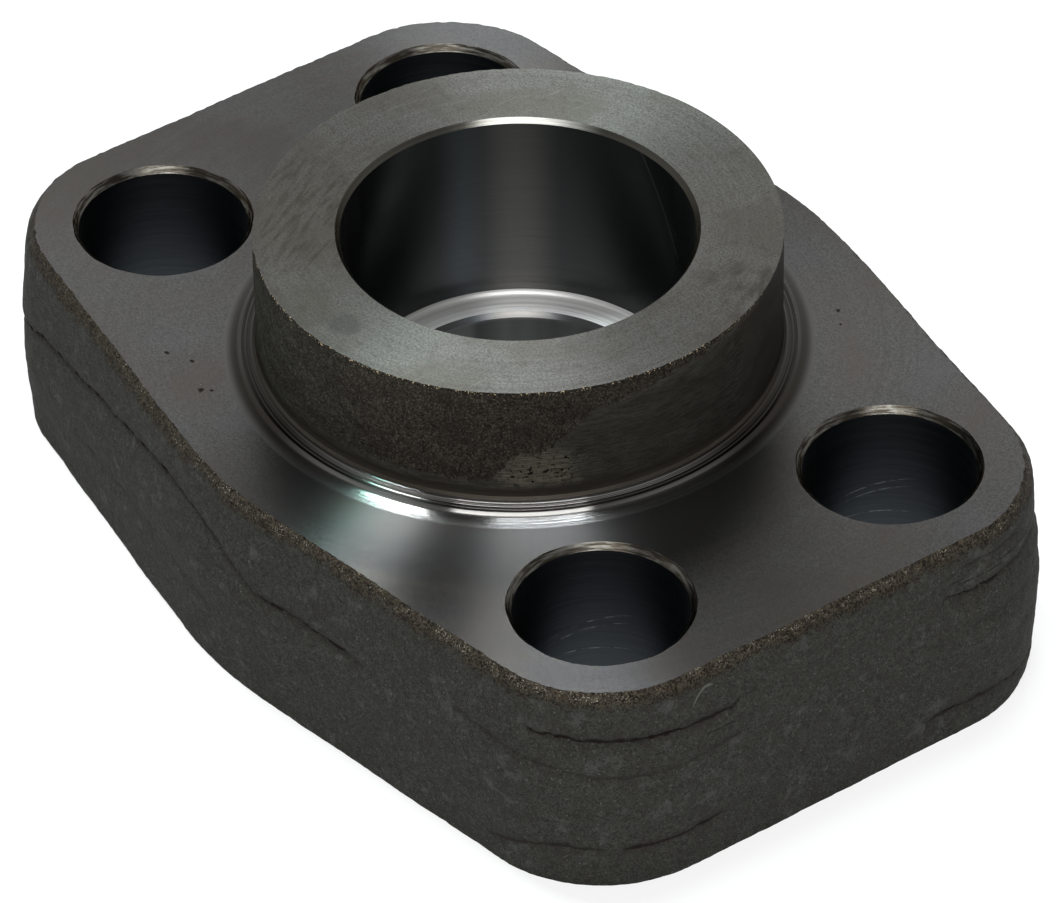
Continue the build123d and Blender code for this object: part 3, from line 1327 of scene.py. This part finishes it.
# %% Floor
floor_size = 3.0
bpy.ops.object.select_all(action="DESELECT")
bpy.ops.mesh.primitive_plane_add(size=floor_size, location=(0, 0, 0))
floor = bpy.context.object
floor.name = "floor"
floor_finish = bpy.data.materials.new("floor")
finishes["floor"] = floor_finish
floor.data.materials.append(floor_finish)
paint = Paint("floor")
paint.set(Base_Color=(0.8, 0.8, 0.8), Roughness=0.9)
paint.shader.inputs["Specular IOR Level"].default_value = 0.0
glow = paint.node("Emission", {"Color": (1, 1, 1), "Strength": 1.0})
rays = paint.tree.nodes.new("ShaderNodeLightPath")
seen = Value(paint, rays.outputs["Is Camera Ray"]) + Value(paint, rays.outputs["Is Glossy Ray"])
seen = seen + Value(paint, rays.outputs["Is Transmission Ray"])
glow_share = 0.75
lit_floor = Value(paint, paint.shader.outputs[0])
mixed = paint.node("MixShader", {0: seen * glow_share, 1: lit_floor, 2: glow})
paint.feed(paint.tree.nodes["Material Output"].inputs["Surface"], mixed)
count_nodes(paint)

# %% [markdown]
# ## The sky
#
# The sky is white round the horizon, where the sides look, and darker overhead, which keeps the
# flat top grey. The height of a ray, from 0 at the horizon to 1 straight up, is worked into the
# strength of the background, so it is one smooth light without any edge.

# %% A sky that is pale round the horizon and darker overhead
pale_up_to = 0.60
dark_from = 0.80
dark_strength = 0.15


def steel_sky():
    """Light the scene by the direction that a ray leaves in."""
    world = bpy.data.worlds.new("studio")
    bpy.context.scene.world = world
    world.use_nodes = True
    tree = world.node_tree
    direction = tree.nodes.new("ShaderNodeTexCoord")
    parts = tree.nodes.new("ShaderNodeSeparateXYZ")
    fade = tree.nodes.new("ShaderNodeMapRange")
    fade.interpolation_type = "SMOOTHSTEP"
    fade.inputs["From Min"].default_value = pale_up_to
    fade.inputs["From Max"].default_value = dark_from
    fade.inputs["To Min"].default_value = 1.0
    fade.inputs["To Max"].default_value = dark_strength
    backdrop = tree.nodes["Background"]
    backdrop.inputs["Color"].default_value = (1, 1, 1, 1)
    tree.links.new(direction.outputs["Generated"], parts.inputs[0])
    tree.links.new(parts.outputs["Z"], fade.inputs["Value"])
    tree.links.new(fade.outputs["Result"], backdrop.inputs["Strength"])


steel_sky()
print("the sky darkens from", pale_up_to, "to", dark_from, "of the way up")

# %% [markdown]
# ## Lamps that make the fans
#
# Steel turned about an axis smears the image of a lamp along the line from the axis, so that each
# lamp lights one wedge of the plate. A lamp is therefore placed by its fan: the bearing of that
# wedge, and the reach, which is how far the lamp stands beyond the point that a flat plate would
# mirror. A long reach also lets the flare at the foot of the hub catch the lamp as a white arc. Its
# width sets how wide the wedge is. Three lamps high above make the two fans and the greenish edge
# of the left one, and a wide window in front lights the near corner.

# %% Three lamps overhead and a window in front
Lamp = namedtuple("Lamp", "name fan reach width depth watts tint")
lamp_distance = 1.0
mirror = Vector((-back.x, -back.y))
lamps = [
    Lamp("right_lamp", -32.0, 0.62, 0.21, 0.14, 5.6, (0.90, 0.95, 1.0)),
    Lamp("left_lamp", -60.8, 0.62, 0.11, 0.14, 5.8, (0.92, 0.98, 1.0)),
    Lamp("left_edge", -67.0, 0.62, 0.035, 0.14, 1.5, (0.55, 1.0, 0.9)),
    Lamp("front_window", -35.5, 1.38, 0.7, 0.2, 5.3, (1.0, 1.0, 1.0)),
]
for lamp in lamps:
    light = bpy.data.lights.new(lamp.name, "AREA")
    light.shape = "RECTANGLE"
    light.size = lamp.depth
    light.size_y = lamp.width
    light.energy = lamp.watts
    light.color = lamp.tint
    turn = math.radians(lamp.fan)
    along_fan = Vector((math.cos(turn), math.sin(turn), 0))
    beside = mirror + lamp.reach * along_fan.xy
    towards = Vector((beside.x, beside.y, math.sqrt(1 - beside.length_squared)))
    across = towards.cross(along_fan).normalized()
    along = across.cross(towards)
    shown = bpy.data.objects.new(lamp.name, light)
    shown.matrix_world = Matrix.Translation(towards * lamp_distance) @ Matrix((
        (along.x, across.x, towards.x),
        (along.y, across.y, towards.y),
        (along.z, across.z, towards.z),
    )).to_4x4()
    bpy.context.collection.objects.link(shown)
    print(lamp.name, "stands", round(math.degrees(math.asin(towards.z))), "degrees up")

bpy.context.scene.view_settings.view_transform = "Standard"
